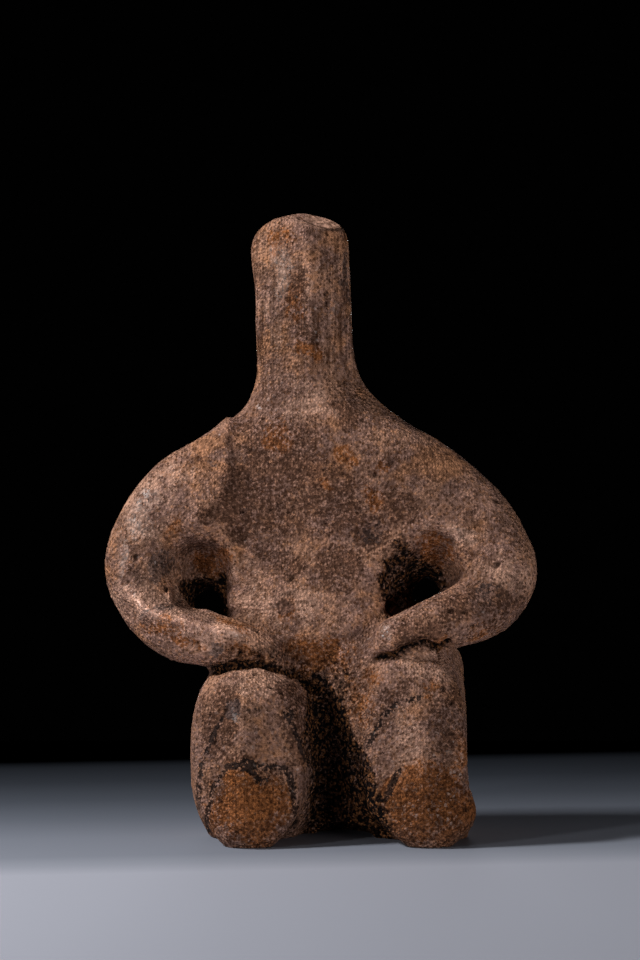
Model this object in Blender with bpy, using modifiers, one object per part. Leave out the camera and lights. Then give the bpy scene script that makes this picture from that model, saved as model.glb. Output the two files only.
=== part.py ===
"""Seated terracotta idol: a pillar-headed figure, hand-modelled and fired in one piece.

The clay members are lofted one by one (pillar and slab torso, web and pads behind the arms, arms,
legs), pressed together by a voxel remesh, pierced with a stick at each armpit and set down flat.
Frame: +Z up, the figure faces -Y, origin on the ground under the middle of its bounding box.
Run: blender --background --python part.py
"""
import bmesh
import bpy
import numpy as np
from mathutils import Matrix, Vector

MM = 0.001

# Driving dimensions, in millimetres
HEIGHT = 111.8            # ground to crown
PILLAR_HALF_WIDTH = 8.8   # the faceless pillar that stands for neck and head
PILLAR_HALF_DEPTH = 6.9
SHOULDER_HALF = 27.2      # half span of the torso slab, without the arms
WAIST_HALF = 15.6
SLAB_HALF_DEPTH = 5.8
MIDDLE = 8.7              # y of the middle of the slab; the feet reach forward of it
SEAT_BACK = 15.7
ELBOW_REACH = 31.9        # elbow's centre line from the middle of the figure
ARM_RADIUS = 6.9
SEAT_HALF_WIDTH = 23.0
LEG_HALF_WIDTH = 9.6
LEG_BELOW_GROUND = 3.0    # legs are modelled deeper than the ground that cuts them flat
KNEE_HEIGHT = 31.4
FOOT_FRONT = -15.7        # y of the tips of the feet

# Finish of the fused clay
VOXEL = 1.0
SMOOTHING_PASSES = 12
TRIANGLE_SHARE = 0.14     # share of the remeshed triangles that is kept
GROUND_DEPTH = 20.0
GROUND_RADIUS = 80.0

# How a loft's sections are turned, and how long its domed ends are (first, last)
FORE_AND_AFT = (0.0, 1.0, 0.0)
UPRIGHT = (0.0, 0.0, 1.0)
DOWNWARD = (0.0, 0.0, -1.0)
FORWARD = (0.0, -1.0, 0.0)
TORSO_ENDS = (6.0, 3.0)
WEB_ENDS = (4.0, 3.0)
ARM_ENDS = (4.0, 3.2)
LEG_ENDS = (4.0, 3.5)
THIGH_ENDS = (6.0, 0.5)

CLAY_COLOUR = (0.36, 0.235, 0.16, 1.0)
CLAY_ROUGHNESS = 0.8

PILLAR_FRONT, PILLAR_BACK = MIDDLE - PILLAR_HALF_DEPTH, MIDDLE + PILLAR_HALF_DEPTH
SLAB_BACK = MIDDLE + SLAB_HALF_DEPTH


def slab_row(x, z, half_width, front, back, squareness):
    """A level section of the body, from the y of its front to the y of its back."""
    return (x, (front + back) / 2, z, half_width, (back - front) / 2, squareness)


# Rows: centre x, y, z; half width; half depth; squareness (2 is an ellipse, more is boxier)
TORSO = (
    slab_row(-2.9, HEIGHT, PILLAR_HALF_WIDTH, PILLAR_FRONT, PILLAR_BACK, 2.1),
    slab_row(-3.6, 105.0, PILLAR_HALF_WIDTH + 0.3, PILLAR_FRONT, PILLAR_BACK, 2.2),
    slab_row(-3.0, 96.0, PILLAR_HALF_WIDTH, PILLAR_FRONT, PILLAR_BACK, 2.2),
    slab_row(-2.7, 88.0, PILLAR_HALF_WIDTH + 0.1, PILLAR_FRONT, PILLAR_BACK, 2.2),
    slab_row(-2.0, 82.5, 9.7, PILLAR_FRONT, PILLAR_BACK, 2.2),
    slab_row(-0.9, 78.0, 12.2, 2.1, 15.3, 2.2),
    slab_row(-0.2, 75.0, 15.2, 2.4, 15.0, 2.3),
    slab_row(-0.5, 72.2, 19.0, 2.6, 14.8, 2.5),
    slab_row(-1.0, 69.4, 23.2, 2.7, 14.6, 2.8),
    slab_row(-1.2, 66.4, SHOULDER_HALF, 2.6, SLAB_BACK, 3.2),
    slab_row(-1.2, 63.0, SHOULDER_HALF + 0.6, 2.5, SLAB_BACK, 3.6),
    slab_row(-1.2, 59.0, SHOULDER_HALF + 0.2, 2.4, SLAB_BACK, 3.8),
    slab_row(-1.2, 55.6, SHOULDER_HALF - 1.0, 2.2, SLAB_BACK, 3.8),
    slab_row(-1.3, 53.2, 24.6, 2.0, SLAB_BACK, 3.6),
    slab_row(-1.2, 51.0, 20.0, 1.8, SLAB_BACK, 3.2),
    slab_row(-0.9, 48.6, 16.8, 1.4, SLAB_BACK, 2.9),
    slab_row(-0.7, 45.0, WAIST_HALF + 0.2, 0.6, SLAB_BACK + 0.1, 2.6),
    slab_row(-0.5, 41.0, WAIST_HALF + 0.6, -0.4, SLAB_BACK + 0.3, 2.4),
    slab_row(1.0, 37.0, 18.2, -0.6, SLAB_BACK + 0.6, 2.4),
    slab_row(3.6, 32.0, SEAT_HALF_WIDTH, 0.8, SEAT_BACK - 0.3, 2.6),
    slab_row(3.9, 24.0, SEAT_HALF_WIDTH, 1.6, SEAT_BACK, 2.8),
    slab_row(3.6, 12.0, SEAT_HALF_WIDTH - 0.4, 1.8, SEAT_BACK, 2.8),
    slab_row(3.2, -2.5, SEAT_HALF_WIDTH - 2.5, 3.0, SEAT_BACK - 1.0, 2.6),
)
BACK_WEB = (
    slab_row(-1.0, 70.0, 20.0, 9.6, 14.4, 2.4),
    slab_row(-1.0, 62.0, 27.5, 9.4, 14.6, 2.4),
    slab_row(-1.0, 52.0, 29.0, 9.4, 14.6, 2.4),
    slab_row(-0.5, 43.0, 26.5, 9.4, 14.6, 2.4),
    slab_row(0.5, 36.0, 24.0, 9.4, 14.8, 2.4),
    slab_row(2.0, 29.0, 20.0, 9.6, 15.2, 2.4),
)
# Pads pressed into the corners between the arms and the chest
PAD_RIGHT = (
    slab_row(-19.5, 68.0, 7.0, 2.8, 14.0, 3.0),
    slab_row(-20.5, 61.0, 9.5, 2.1, 14.0, 3.5),
    slab_row(-20.5, 56.0, 8.8, 2.0, 14.0, 3.5),
    slab_row(-20.2, 52.0, 6.0, 2.3, 14.0, 3.0),
)
PAD_LEFT = (
    slab_row(17.0, 69.0, 7.0, 2.8, 14.0, 3.0),
    slab_row(19.0, 62.0, 9.0, 2.2, 14.0, 3.5),
    slab_row(20.0, 57.0, 8.0, 2.1, 14.0, 3.5),
    slab_row(20.5, 54.0, 6.0, 2.4, 14.0, 3.0),
)
ARM_RIGHT = (
    (-9.0, MIDDLE, 66.0, 8.0, 5.4, 2.0),
    (-19.5, MIDDLE, 62.8, 8.2, 6.0, 2.3),
    (-26.0, MIDDLE - 0.1, 58.4, 8.2, 6.4, 2.4),
    (-30.0, MIDDLE - 0.3, 52.6, 7.8, 6.6, 2.3),
    (-ELBOW_REACH + 0.3, 7.6, 46.8, ARM_RADIUS + 0.3, ARM_RADIUS - 0.1, 2.2),
    (-29.4, 5.2, 41.2, 6.5, 6.4, 2.1),
    (-25.8, 2.3, 37.6, 5.9, 6.0, 2.0),
    (-21.0, 0.2, 35.8, 5.1, 5.4, 2.0),
    (-15.4, -1.0, 34.8, 4.4, 4.8, 2.0),
    (-10.0, -1.2, 33.6, 3.2, 3.8, 2.0),
    (-6.6, -0.4, 32.7, 2.0, 3.0, 2.0),
)
ARM_LEFT = (
    (8.0, MIDDLE, 68.0, 8.0, 5.4, 2.0),
    (14.6, MIDDLE, 65.2, 8.2, 5.8, 2.2),
    (21.4, MIDDLE - 0.1, 60.9, 8.0, 6.2, 2.4),
    (26.9, MIDDLE - 0.2, 56.0, 7.8, 6.5, 2.3),
    (30.4, MIDDLE - 0.6, 51.6, 7.4, 6.7, 2.2),
    (ELBOW_REACH + 0.4, 7.2, 47.0, ARM_RADIUS, ARM_RADIUS - 0.1, 2.1),
    (30.2, 4.8, 42.0, 6.2, 6.2, 2.0),
    (26.0, 1.8, 39.8, 5.6, 5.8, 2.0),
    (21.4, -0.3, 38.6, 4.9, 5.2, 2.0),
    (16.7, -1.6, 37.2, 4.1, 4.6, 2.0),
    (12.6, -2.2, 35.7, 3.8, 4.2, 2.0),
    (9.6, -2.2, 34.9, 3.6, 4.0, 2.0),
)


def leg_row(x, y, half_width, top, squareness):
    """A leg's section at depth y, from the height of its top down to below the ground."""
    half_height = (top + LEG_BELOW_GROUND) / 2
    return (x, y, top - half_height, half_width, half_height, squareness)


LEG_RIGHT = (
    leg_row(-8.8, 12.6, LEG_HALF_WIDTH + 1.0, KNEE_HEIGHT - 3.0, 2.6),
    leg_row(-11.0, 7.0, LEG_HALF_WIDTH + 2.0, KNEE_HEIGHT - 0.6, 2.6),
    leg_row(-11.8, 1.6, LEG_HALF_WIDTH + 1.8, KNEE_HEIGHT + 1.0, 2.6),
    leg_row(-12.2, -3.4, LEG_HALF_WIDTH + 1.2, KNEE_HEIGHT + 0.6, 2.7),
    leg_row(-12.5, -7.6, LEG_HALF_WIDTH + 0.4, KNEE_HEIGHT - 2.6, 2.7),
    leg_row(-12.6, -11.8, LEG_HALF_WIDTH - 0.4, KNEE_HEIGHT - 9.4, 2.6),
    leg_row(-12.6, FOOT_FRONT, LEG_HALF_WIDTH - 1.3, KNEE_HEIGHT - 18.0, 2.4),
)
LEG_LEFT = (
    leg_row(15.0, 12.6, LEG_HALF_WIDTH + 1.2, KNEE_HEIGHT + 2.6, 2.8),
    leg_row(15.4, 7.0, LEG_HALF_WIDTH + 1.8, KNEE_HEIGHT + 6.6, 3.0),
    leg_row(16.0, 1.6, LEG_HALF_WIDTH + 1.2, KNEE_HEIGHT + 6.8, 3.0),
    leg_row(17.0, -3.4, LEG_HALF_WIDTH + 0.5, KNEE_HEIGHT + 4.6, 2.9),
    leg_row(17.9, -7.0, LEG_HALF_WIDTH + 0.2, KNEE_HEIGHT + 1.6, 2.8),
    leg_row(18.7, -10.6, LEG_HALF_WIDTH, KNEE_HEIGHT - 6.0, 2.6),
    leg_row(19.4, FOOT_FRONT + 1.2, LEG_HALF_WIDTH - 0.3, KNEE_HEIGHT - 18.4, 2.4),
)
# The clay that slopes from the bottom of the valley between the legs out to the left thigh
INNER_THIGH = (
    slab_row(8.6, 38.0, 10.0, -2.0, 14.0, 1.9),
    slab_row(9.0, 30.0, 9.4, -3.6, 14.0, 1.8),
    slab_row(9.8, 20.0, 8.6, -5.0, 14.0, 1.7),
    slab_row(10.8, 9.0, 7.8, -6.0, 14.0, 1.7),
    slab_row(11.2, -2.5, 7.4, -6.0, 13.0, 1.7),
)

# Sticks that pierce the armpits, the thumb's drag along the left forearm and the hollow of the
# underside: front centre, back centre, front radius, back radius
STICKS = {
    "stick_right": ((-21.2, -4.0, 47.8), (-19.9, 18.0, 38.0), 5.6, 1.9),
    "stick_left": ((20.2, -4.0, 50.0), (19.5, 18.0, 40.2), 5.8, 2.0),
    "thumb_left": ((12.6, 1.6, 39.8), (21.0, 2.6, 49.6), 2.4, 5.0),
    "stick_below": ((4.0, -24.0, -4.0), (4.0, 14.0, -7.0), 7.5, 7.5),
}
# Faces pressed flat with a paddle before the members are joined: a point on the face, the way it
# faces, how softly its edges turn, and the heights at which the pressing is nil and full
UPPER_LEG = (33.0, 27.0)
LOWER_LEG = (16.0, 9.0)
NECK = (70.0, 84.0)
PILLAR_RIDGE = (-1.5, PILLAR_FRONT + 0.8, 90.0)
RIGHT_SHIN = (-14.4, FOOT_FRONT + 0.8, 6.0)
LEFT_SHIN = (18.1, FOOT_FRONT + 1.1, 6.0)
UNDER_TOES = ((0.0, FOOT_FRONT + 0.5, 3.2), (0.0, -0.8, -0.6), 0.9, LOWER_LEG)
PILLAR_FACES = (
    (PILLAR_RIDGE, (-0.475, -0.88, 0.0), 0.6, NECK),
    (PILLAR_RIDGE, (0.608, -0.794, 0.0), 0.6, NECK),
)
LEG_RIGHT_FACES = (
    (RIGHT_SHIN, (-0.5, -0.84, 0.16), 0.4, UPPER_LEG),
    (RIGHT_SHIN, (0.26, -0.94, 0.16), 0.4, UPPER_LEG),
    ((-20.4, -10.0, 4.0), (-0.76, -0.62, -0.16), 0.9, LOWER_LEG),
    UNDER_TOES,
)
LEG_LEFT_FACES = (
    (LEFT_SHIN, (-0.46, -0.86, 0.16), 0.4, UPPER_LEG),
    (LEFT_SHIN, (0.36, -0.9, 0.16), 0.4, UPPER_LEG),
    ((26.2, -9.0, 4.0), (0.76, -0.62, -0.16), 0.9, LOWER_LEG),
    UNDER_TOES,
)


def ramp(low, high, values):
    """0 before low, 1 past high, and a smooth step between them."""
    t = np.clip((values - low) / (high - low), 0.0, 1.0)
    return t * t * (3 - 2 * t)


def paddled(points, anchor, facing, softness, heights):
    """Points that stand out from a plane by s moved in by softness times log(1 + exp(s / softness)),
    which rounds the edge of the flat over about that length."""
    facing = np.array(facing) / np.linalg.norm(facing)
    depth = softness * np.logaddexp(0.0, (points - np.array(anchor)) @ facing / softness)
    return points - (depth * ramp(*heights, points[..., 2]))[..., None] * facing


def smooth_rows(stations, count):
    """The stations' columns read off a Catmull-Rom spline at count even parameters."""
    rows = np.array(stations, float)
    padded = np.vstack((2 * rows[0] - rows[1], rows, 2 * rows[-1] - rows[-2]))
    at = np.linspace(0.0, len(rows) - 1.0, count)
    i = np.minimum(at.astype(int), len(rows) - 2)
    t = (at - i)[:, None]
    a, b, c, d = (padded[i + k] for k in range(4))
    return 0.5 * (
        2 * b + (c - a) * t + (2 * a - 5 * b + 4 * c - d) * t**2 + (3 * b - a - 3 * c + d) * t**3
    )


def loft(name, stations, depth_axis, end_rounding, facing=None, rings=56, sides=48, flats=()):
    """A closed mesh of rounded sections carried along a path. The sections all face one way where
    that is given, and lie across the path where it isn't. Both ends close as domes that are
    end_rounding (first, last) millimetres long, and the flats are then pressed into the side."""
    rows = smooth_rows(stations, rings)
    centre, half_width, half_depth, squareness = rows[:, :3], rows[:, 3], rows[:, 4], rows[:, 5]
    along = np.gradient(centre, axis=0) if facing is None else np.tile(facing, (rings, 1))
    along /= np.linalg.norm(along, axis=1)[:, None]
    across = np.cross(along, depth_axis)
    across /= np.linalg.norm(across, axis=1)[:, None]
    deep = np.cross(across, along)

    run = np.r_[0.0, np.cumsum(np.linalg.norm(np.diff(centre, axis=0), axis=1))]
    shrink = np.ones(rings)
    for distance, rounding in ((run, end_rounding[0]), (run[-1] - run, end_rounding[1])):
        inside = np.clip(1.0 - distance / rounding, 0.0, 0.995)
        shrink = np.minimum(shrink, np.sqrt(1.0 - inside**2))

    angle = np.linspace(0.0, 2 * np.pi, sides, endpoint=False)
    power = 2.0 / squareness[:, None]
    u = np.sign(np.cos(angle)) * np.abs(np.cos(angle)) ** power * (half_width * shrink)[:, None]
    v = np.sign(np.sin(angle)) * np.abs(np.sin(angle)) ** power * (half_depth * shrink)[:, None]
    points = centre[:, None] + u[..., None] * across[:, None] + v[..., None] * deep[:, None]
    for flat in flats:
        points = paddled(points, *flat)

    faces = [
        (i * sides + j, i * sides + (j + 1) % sides, (i + 1) * sides + (j + 1) % sides, (i + 1) * sides + j)
        for i in range(rings - 1)
        for j in range(sides)
    ]
    faces += [tuple(range(sides))[::-1], tuple(range((rings - 1) * sides, rings * sides))]
    mesh = bpy.data.meshes.new(name)
    mesh.from_pydata((points.reshape(-1, 3) * MM).tolist(), [], faces)
    mesh.update()
    return mesh


def cone_between(name, front, back, front_radius, back_radius):
    """A closed cone frustum from its front centre to its back centre, used as a cutter."""
    front, back = Vector(front) * MM, Vector(back) * MM
    mesh = bpy.data.meshes.new(name)
    shape = bmesh.new()
    bmesh.ops.create_cone(
        shape,
        cap_ends=True,
        segments=40,
        radius1=front_radius * MM,
        radius2=back_radius * MM,
        depth=(back - front).length,
    )
    shape.to_mesh(mesh)
    shape.free()
    turn = (back - front).to_track_quat("Z", "Y").to_matrix().to_4x4()
    mesh.transform(Matrix.Translation((front + back) / 2) @ turn)
    return mesh


def clear_scene():
    for obj in list(bpy.data.objects):
        bpy.data.objects.remove(obj, do_unlink=True)


def new_collection(name):
    collection = bpy.data.collections.new(name)
    bpy.context.scene.collection.children.link(collection)
    return collection


def add_cutter(collection, name, mesh):
    cutter = bpy.data.objects.new(name, mesh)
    cutter.hide_render = True
    cutter.display_type = "WIRE"
    collection.objects.link(cutter)
    return cutter


def clay_material():
    material = bpy.data.materials.new("fired_clay")
    material.use_nodes = True
    shader = material.node_tree.nodes["Principled BSDF"]
    shader.inputs["Base Color"].default_value = CLAY_COLOUR
    shader.inputs["Roughness"].default_value = CLAY_ROUGHNESS
    shader.inputs["Metallic"].default_value = 0.0
    return material


def joined(name, meshes):
    """One mesh that holds the given meshes as overlapping closed shells."""
    shape = bmesh.new()
    for mesh in meshes:
        shape.from_mesh(mesh)
        bpy.data.meshes.remove(mesh)
    whole = bpy.data.meshes.new(name)
    shape.to_mesh(whole)
    shape.free()
    return whole


def remesh(obj):
    modifier = obj.modifiers.new("press_together", "REMESH")
    modifier.mode = "VOXEL"
    modifier.voxel_size = VOXEL * MM
    modifier.use_smooth_shade = True


def cut(obj, cutter):
    modifier = obj.modifiers.new(cutter.name, "BOOLEAN")
    modifier.operation = "DIFFERENCE"
    modifier.object = cutter


def centred(obj):
    """The object's evaluated mesh, moved so that its box stands centred on the origin."""
    graph = bpy.context.evaluated_depsgraph_get()
    mesh = bpy.data.meshes.new_from_object(obj.evaluated_get(graph))
    corners = np.empty(len(mesh.vertices) * 3)
    mesh.vertices.foreach_get("co", corners)
    corners = corners.reshape(-1, 3)
    middle = (corners.min(axis=0) + corners.max(axis=0)) / 2
    mesh.transform(Matrix.Translation((-middle[0], -middle[1], -corners[:, 2].min())))
    return mesh


def main():
    clear_scene()
    idol_parts = new_collection("seated_idol")
    cutters = new_collection("cutters")

    members = [
        loft("torso", TORSO, FORE_AND_AFT, TORSO_ENDS, DOWNWARD, rings=120, flats=PILLAR_FACES),
        loft("back_web", BACK_WEB, FORE_AND_AFT, WEB_ENDS, DOWNWARD),
        loft("pad_right", PAD_RIGHT, FORE_AND_AFT, WEB_ENDS, DOWNWARD),
        loft("pad_left", PAD_LEFT, FORE_AND_AFT, WEB_ENDS, DOWNWARD),
        loft("arm_right", ARM_RIGHT, FORE_AND_AFT, ARM_ENDS),
        loft("arm_left", ARM_LEFT, FORE_AND_AFT, ARM_ENDS),
        loft("leg_right", LEG_RIGHT, UPRIGHT, LEG_ENDS, FORWARD, flats=LEG_RIGHT_FACES),
        loft("leg_left", LEG_LEFT, UPRIGHT, LEG_ENDS, FORWARD, flats=LEG_LEFT_FACES),
        loft("inner_thigh", INNER_THIGH, FORE_AND_AFT, THIGH_ENDS, DOWNWARD),
    ]
    clay = bpy.data.objects.new("clay", joined("clay", members))
    clay.hide_render = True
    cutters.objects.link(clay)

    remesh(clay)
    for name, stick in STICKS.items():
        cut(clay, add_cutter(cutters, name, cone_between(name, *stick)))
    remesh(clay)
    smoothing = clay.modifiers.new("wet_hand", "SMOOTH")
    smoothing.factor = 0.5
    smoothing.iterations = SMOOTHING_PASSES
    thinning = clay.modifiers.new("facets", "DECIMATE")
    thinning.ratio = TRIANGLE_SHARE
    ground = cone_between("ground", (0, 0, -GROUND_DEPTH), (0, 0, 0), GROUND_RADIUS, GROUND_RADIUS)
    cut(clay, add_cutter(cutters, "ground", ground))

    idol = bpy.data.objects.new("idol", centred(clay))
    idol.data.shade_smooth()
    idol.data.materials.clear()
    idol.data.materials.append(clay_material())
    idol_parts.objects.link(idol)


if __name__ == "__main__":
    main()
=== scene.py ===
"""A seated terracotta idol on a pale table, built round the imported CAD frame.

The figure faces -Y and stands on z = 0, with its right arm and leg at -X. Lengths in its sections
are millimetres, and its mesh is brought to metres as it is made. The table, the lamps and the
camera are in metres.
"""

import bpy
import numpy as np
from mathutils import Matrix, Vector


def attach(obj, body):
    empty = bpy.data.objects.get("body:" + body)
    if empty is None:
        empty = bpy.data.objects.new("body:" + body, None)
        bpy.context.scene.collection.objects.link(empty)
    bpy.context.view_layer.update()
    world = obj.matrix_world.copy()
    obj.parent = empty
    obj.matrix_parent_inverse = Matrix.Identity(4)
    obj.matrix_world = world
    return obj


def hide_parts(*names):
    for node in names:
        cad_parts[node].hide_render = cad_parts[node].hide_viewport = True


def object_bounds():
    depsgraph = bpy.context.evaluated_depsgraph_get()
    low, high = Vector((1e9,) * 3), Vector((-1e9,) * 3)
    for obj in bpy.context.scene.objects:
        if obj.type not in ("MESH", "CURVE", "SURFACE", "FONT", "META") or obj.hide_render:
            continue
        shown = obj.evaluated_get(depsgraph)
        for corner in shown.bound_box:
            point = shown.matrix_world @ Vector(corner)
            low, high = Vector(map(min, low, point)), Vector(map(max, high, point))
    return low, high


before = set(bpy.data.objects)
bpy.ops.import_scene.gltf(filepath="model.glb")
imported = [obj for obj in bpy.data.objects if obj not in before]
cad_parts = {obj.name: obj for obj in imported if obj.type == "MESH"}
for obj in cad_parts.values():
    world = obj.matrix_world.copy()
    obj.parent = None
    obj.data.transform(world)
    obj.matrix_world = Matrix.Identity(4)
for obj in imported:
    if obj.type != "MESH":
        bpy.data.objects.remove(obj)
cad_low, cad_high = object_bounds()

# ------------------------------------------------------------------------------------------------
# The idol's clay: pillar and slab torso, back web, two arms and two legs, rolled and flattened by
# hand out of sandy clay. The members are pressed together while wet, the seams are smeared over
# with a thumb, and a stick is pushed through behind each forearm.
# ------------------------------------------------------------------------------------------------
MM = 0.001              # metres
HEIGHT = 111.8
PILLAR_HALF_WIDTH = 8.8
PILLAR_HALF_DEPTH = 6.9
SHOULDER_HALF = 27.2
WAIST_HALF = 15.6
SLAB_HALF_DEPTH = 5.8
MIDDLE = 8.7            # y of the middle of the slab; the feet reach forward of it
SEAT_BACK = 15.7
ELBOW_REACH = 31.9
ARM_RADIUS = 6.9
SEAT_HALF_WIDTH = 23.0
LEG_HALF_WIDTH = 9.6
LEG_BELOW_GROUND = 3.0
KNEE_HEIGHT = 31.4
FOOT_FRONT = -15.7

FORE_AND_AFT, UPRIGHT = (0.0, 1.0, 0.0), (0.0, 0.0, 1.0)
DOWNWARD, FORWARD = (0.0, 0.0, -1.0), (0.0, -1.0, 0.0)


def slab_row(x, z, half_width, front, back, squareness):
    """A level section of the body from the y of its front to the y of its back."""
    return (x, (front + back) / 2, z, half_width, (back - front) / 2, squareness)


PILLAR_FRONT, PILLAR_BACK = MIDDLE - PILLAR_HALF_DEPTH, MIDDLE + PILLAR_HALF_DEPTH
SLAB_BACK = MIDDLE + SLAB_HALF_DEPTH

# Rows: centre x, y, z; half width; half depth; squareness (2 is an ellipse, more is boxier)
TORSO = (
    slab_row(-2.9, HEIGHT, PILLAR_HALF_WIDTH, PILLAR_FRONT, PILLAR_BACK, 2.1),
    slab_row(-3.6, 105.0, PILLAR_HALF_WIDTH + 0.3, PILLAR_FRONT, PILLAR_BACK, 2.2),
    slab_row(-3.0, 96.0, PILLAR_HALF_WIDTH, PILLAR_FRONT, PILLAR_BACK, 2.2),
    slab_row(-2.7, 88.0, PILLAR_HALF_WIDTH + 0.1, PILLAR_FRONT, PILLAR_BACK, 2.2),
    slab_row(-2.0, 82.5, 9.7, PILLAR_FRONT, PILLAR_BACK, 2.2),
    slab_row(-0.9, 78.0, 12.2, 2.1, 15.3, 2.2),
    slab_row(-0.2, 75.0, 15.2, 2.4, 15.0, 2.3),
    slab_row(-0.5, 72.2, 19.0, 2.6, 14.8, 2.5),
    slab_row(-1.0, 69.4, 23.2, 2.7, 14.6, 2.8),
    slab_row(-1.2, 66.4, SHOULDER_HALF, 2.6, SLAB_BACK, 3.2),
    slab_row(-1.2, 63.0, SHOULDER_HALF + 0.6, 2.5, SLAB_BACK, 3.6),
    slab_row(-1.2, 59.0, SHOULDER_HALF + 0.2, 2.4, SLAB_BACK, 3.8),
    slab_row(-1.2, 55.6, SHOULDER_HALF - 1.0, 2.2, SLAB_BACK, 3.8),
    slab_row(-1.3, 53.2, 24.6, 2.0, SLAB_BACK, 3.6),
    slab_row(-1.2, 51.0, 20.0, 1.8, SLAB_BACK, 3.2),
    slab_row(-0.9, 48.6, 16.8, 1.4, SLAB_BACK, 2.9),
    slab_row(-0.7, 45.0, WAIST_HALF + 0.2, 0.6, SLAB_BACK + 0.1, 2.6),
    slab_row(-0.5, 41.0, WAIST_HALF + 0.6, -0.4, SLAB_BACK + 0.3, 2.4),
    slab_row(1.0, 37.0, 18.2, -0.6, SLAB_BACK + 0.6, 2.4),
    slab_row(3.0, 32.0, SEAT_HALF_WIDTH - 0.5, 0.8, SEAT_BACK - 0.3, 2.6),
    slab_row(3.3, 24.0, SEAT_HALF_WIDTH - 0.6, 1.6, SEAT_BACK, 2.8),
    slab_row(3.2, 12.0, SEAT_HALF_WIDTH - 0.8, 1.8, SEAT_BACK, 2.8),
    slab_row(3.0, -2.5, SEAT_HALF_WIDTH - 2.7, 3.0, SEAT_BACK - 1.0, 2.6),
)
BACK_WEB = (
    slab_row(-1.0, 70.0, 20.0, 9.6, 14.4, 2.4),
    slab_row(-1.0, 62.0, 27.5, 9.4, 14.6, 2.4),
    slab_row(-1.0, 52.0, 29.0, 9.4, 14.6, 2.4),
    slab_row(-0.5, 43.0, 26.5, 9.4, 14.6, 2.4),
    slab_row(0.5, 36.0, 24.0, 9.4, 14.8, 2.4),
    slab_row(2.0, 29.0, 20.0, 9.6, 15.2, 2.4),
)
# Pads pressed into the corners between the arms and the chest
PAD_RIGHT = (
    slab_row(-19.5, 68.0, 7.0, 2.8, 14.0, 3.0),
    slab_row(-20.5, 61.0, 9.5, 2.1, 14.0, 3.5),
    slab_row(-20.5, 56.0, 8.8, 2.0, 14.0, 3.5),
    slab_row(-20.2, 52.0, 6.0, 2.3, 14.0, 3.0),
)
PAD_LEFT = (
    slab_row(17.0, 69.0, 7.0, 2.8, 14.0, 3.0),
    slab_row(19.0, 62.0, 9.0, 2.2, 14.0, 3.5),
    slab_row(20.0, 57.0, 8.0, 2.1, 14.0, 3.5),
    slab_row(20.5, 54.0, 6.0, 2.4, 14.0, 3.0),
)
# Clay pushed in behind each elbow, so that the arm doesn't come away from the web
ELBOW_PAD_RIGHT = (
    slab_row(-27.5, 46.0, 3.5, 7.0, 13.6, 2.2),
    slab_row(-26.0, 41.0, 4.5, 5.0, 13.8, 2.2),
    slab_row(-23.5, 37.0, 5.0, 4.0, 14.0, 2.2),
    slab_row(-20.5, 33.0, 4.5, 3.5, 14.2, 2.2),
)
ELBOW_PAD_LEFT = (
    slab_row(28.5, 47.0, 3.5, 7.0, 13.6, 2.2),
    slab_row(27.0, 43.0, 4.5, 5.0, 13.8, 2.2),
    slab_row(24.5, 39.5, 5.0, 4.0, 14.0, 2.2),
    slab_row(21.5, 36.5, 4.5, 3.5, 14.2, 2.2),
)
ARM_RIGHT = (
    (-9.0, MIDDLE, 66.0, 8.0, 5.4, 2.0),
    (-19.5, MIDDLE, 62.8, 8.2, 6.0, 2.3),
    (-26.0, MIDDLE - 0.1, 58.4, 8.2, 6.4, 2.4),
    (-30.0, MIDDLE - 0.3, 52.6, 7.8, 6.6, 2.3),
    (-ELBOW_REACH + 0.3, 7.6, 46.8, ARM_RADIUS + 0.3, ARM_RADIUS - 0.1, 2.2),
    (-29.4, 5.2, 41.2, 6.5, 6.4, 2.1),
    (-25.8, 2.3, 37.6, 5.9, 6.0, 2.0),
    (-21.0, 0.2, 35.8, 5.1, 5.4, 2.0),
    (-15.4, -1.0, 34.8, 4.4, 4.8, 2.0),
    (-10.0, -1.2, 33.6, 3.2, 3.8, 2.0),
    (-6.6, -0.4, 32.7, 2.0, 3.0, 2.0),
)
ARM_LEFT = (
    (8.0, MIDDLE, 68.0, 8.0, 5.4, 2.0),
    (14.6, MIDDLE, 65.2, 8.2, 5.8, 2.2),
    (21.4, MIDDLE - 0.1, 60.9, 8.0, 6.2, 2.4),
    (26.9, MIDDLE - 0.2, 56.0, 7.8, 6.5, 2.3),
    (30.4, MIDDLE - 0.6, 51.6, 7.4, 6.7, 2.2),
    (ELBOW_REACH + 0.4, 7.2, 47.0, ARM_RADIUS, ARM_RADIUS - 0.1, 2.1),
    (30.2, 4.8, 42.0, 6.2, 6.2, 2.0),
    (26.0, 1.8, 39.8, 5.6, 5.8, 2.0),
    (21.4, -0.3, 38.6, 4.9, 5.2, 2.0),
    (16.7, -1.6, 37.2, 4.1, 4.6, 2.0),
    (12.6, -2.2, 35.7, 3.8, 4.2, 2.0),
    (9.6, -2.2, 34.9, 3.6, 4.0, 2.0),
)


def leg_row(x, y, half_width, top, squareness):
    """A leg's section at depth y, from the height of its top down to below the ground."""
    half_height = (top + LEG_BELOW_GROUND) / 2
    return (x, y, top - half_height, half_width, half_height, squareness)


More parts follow.
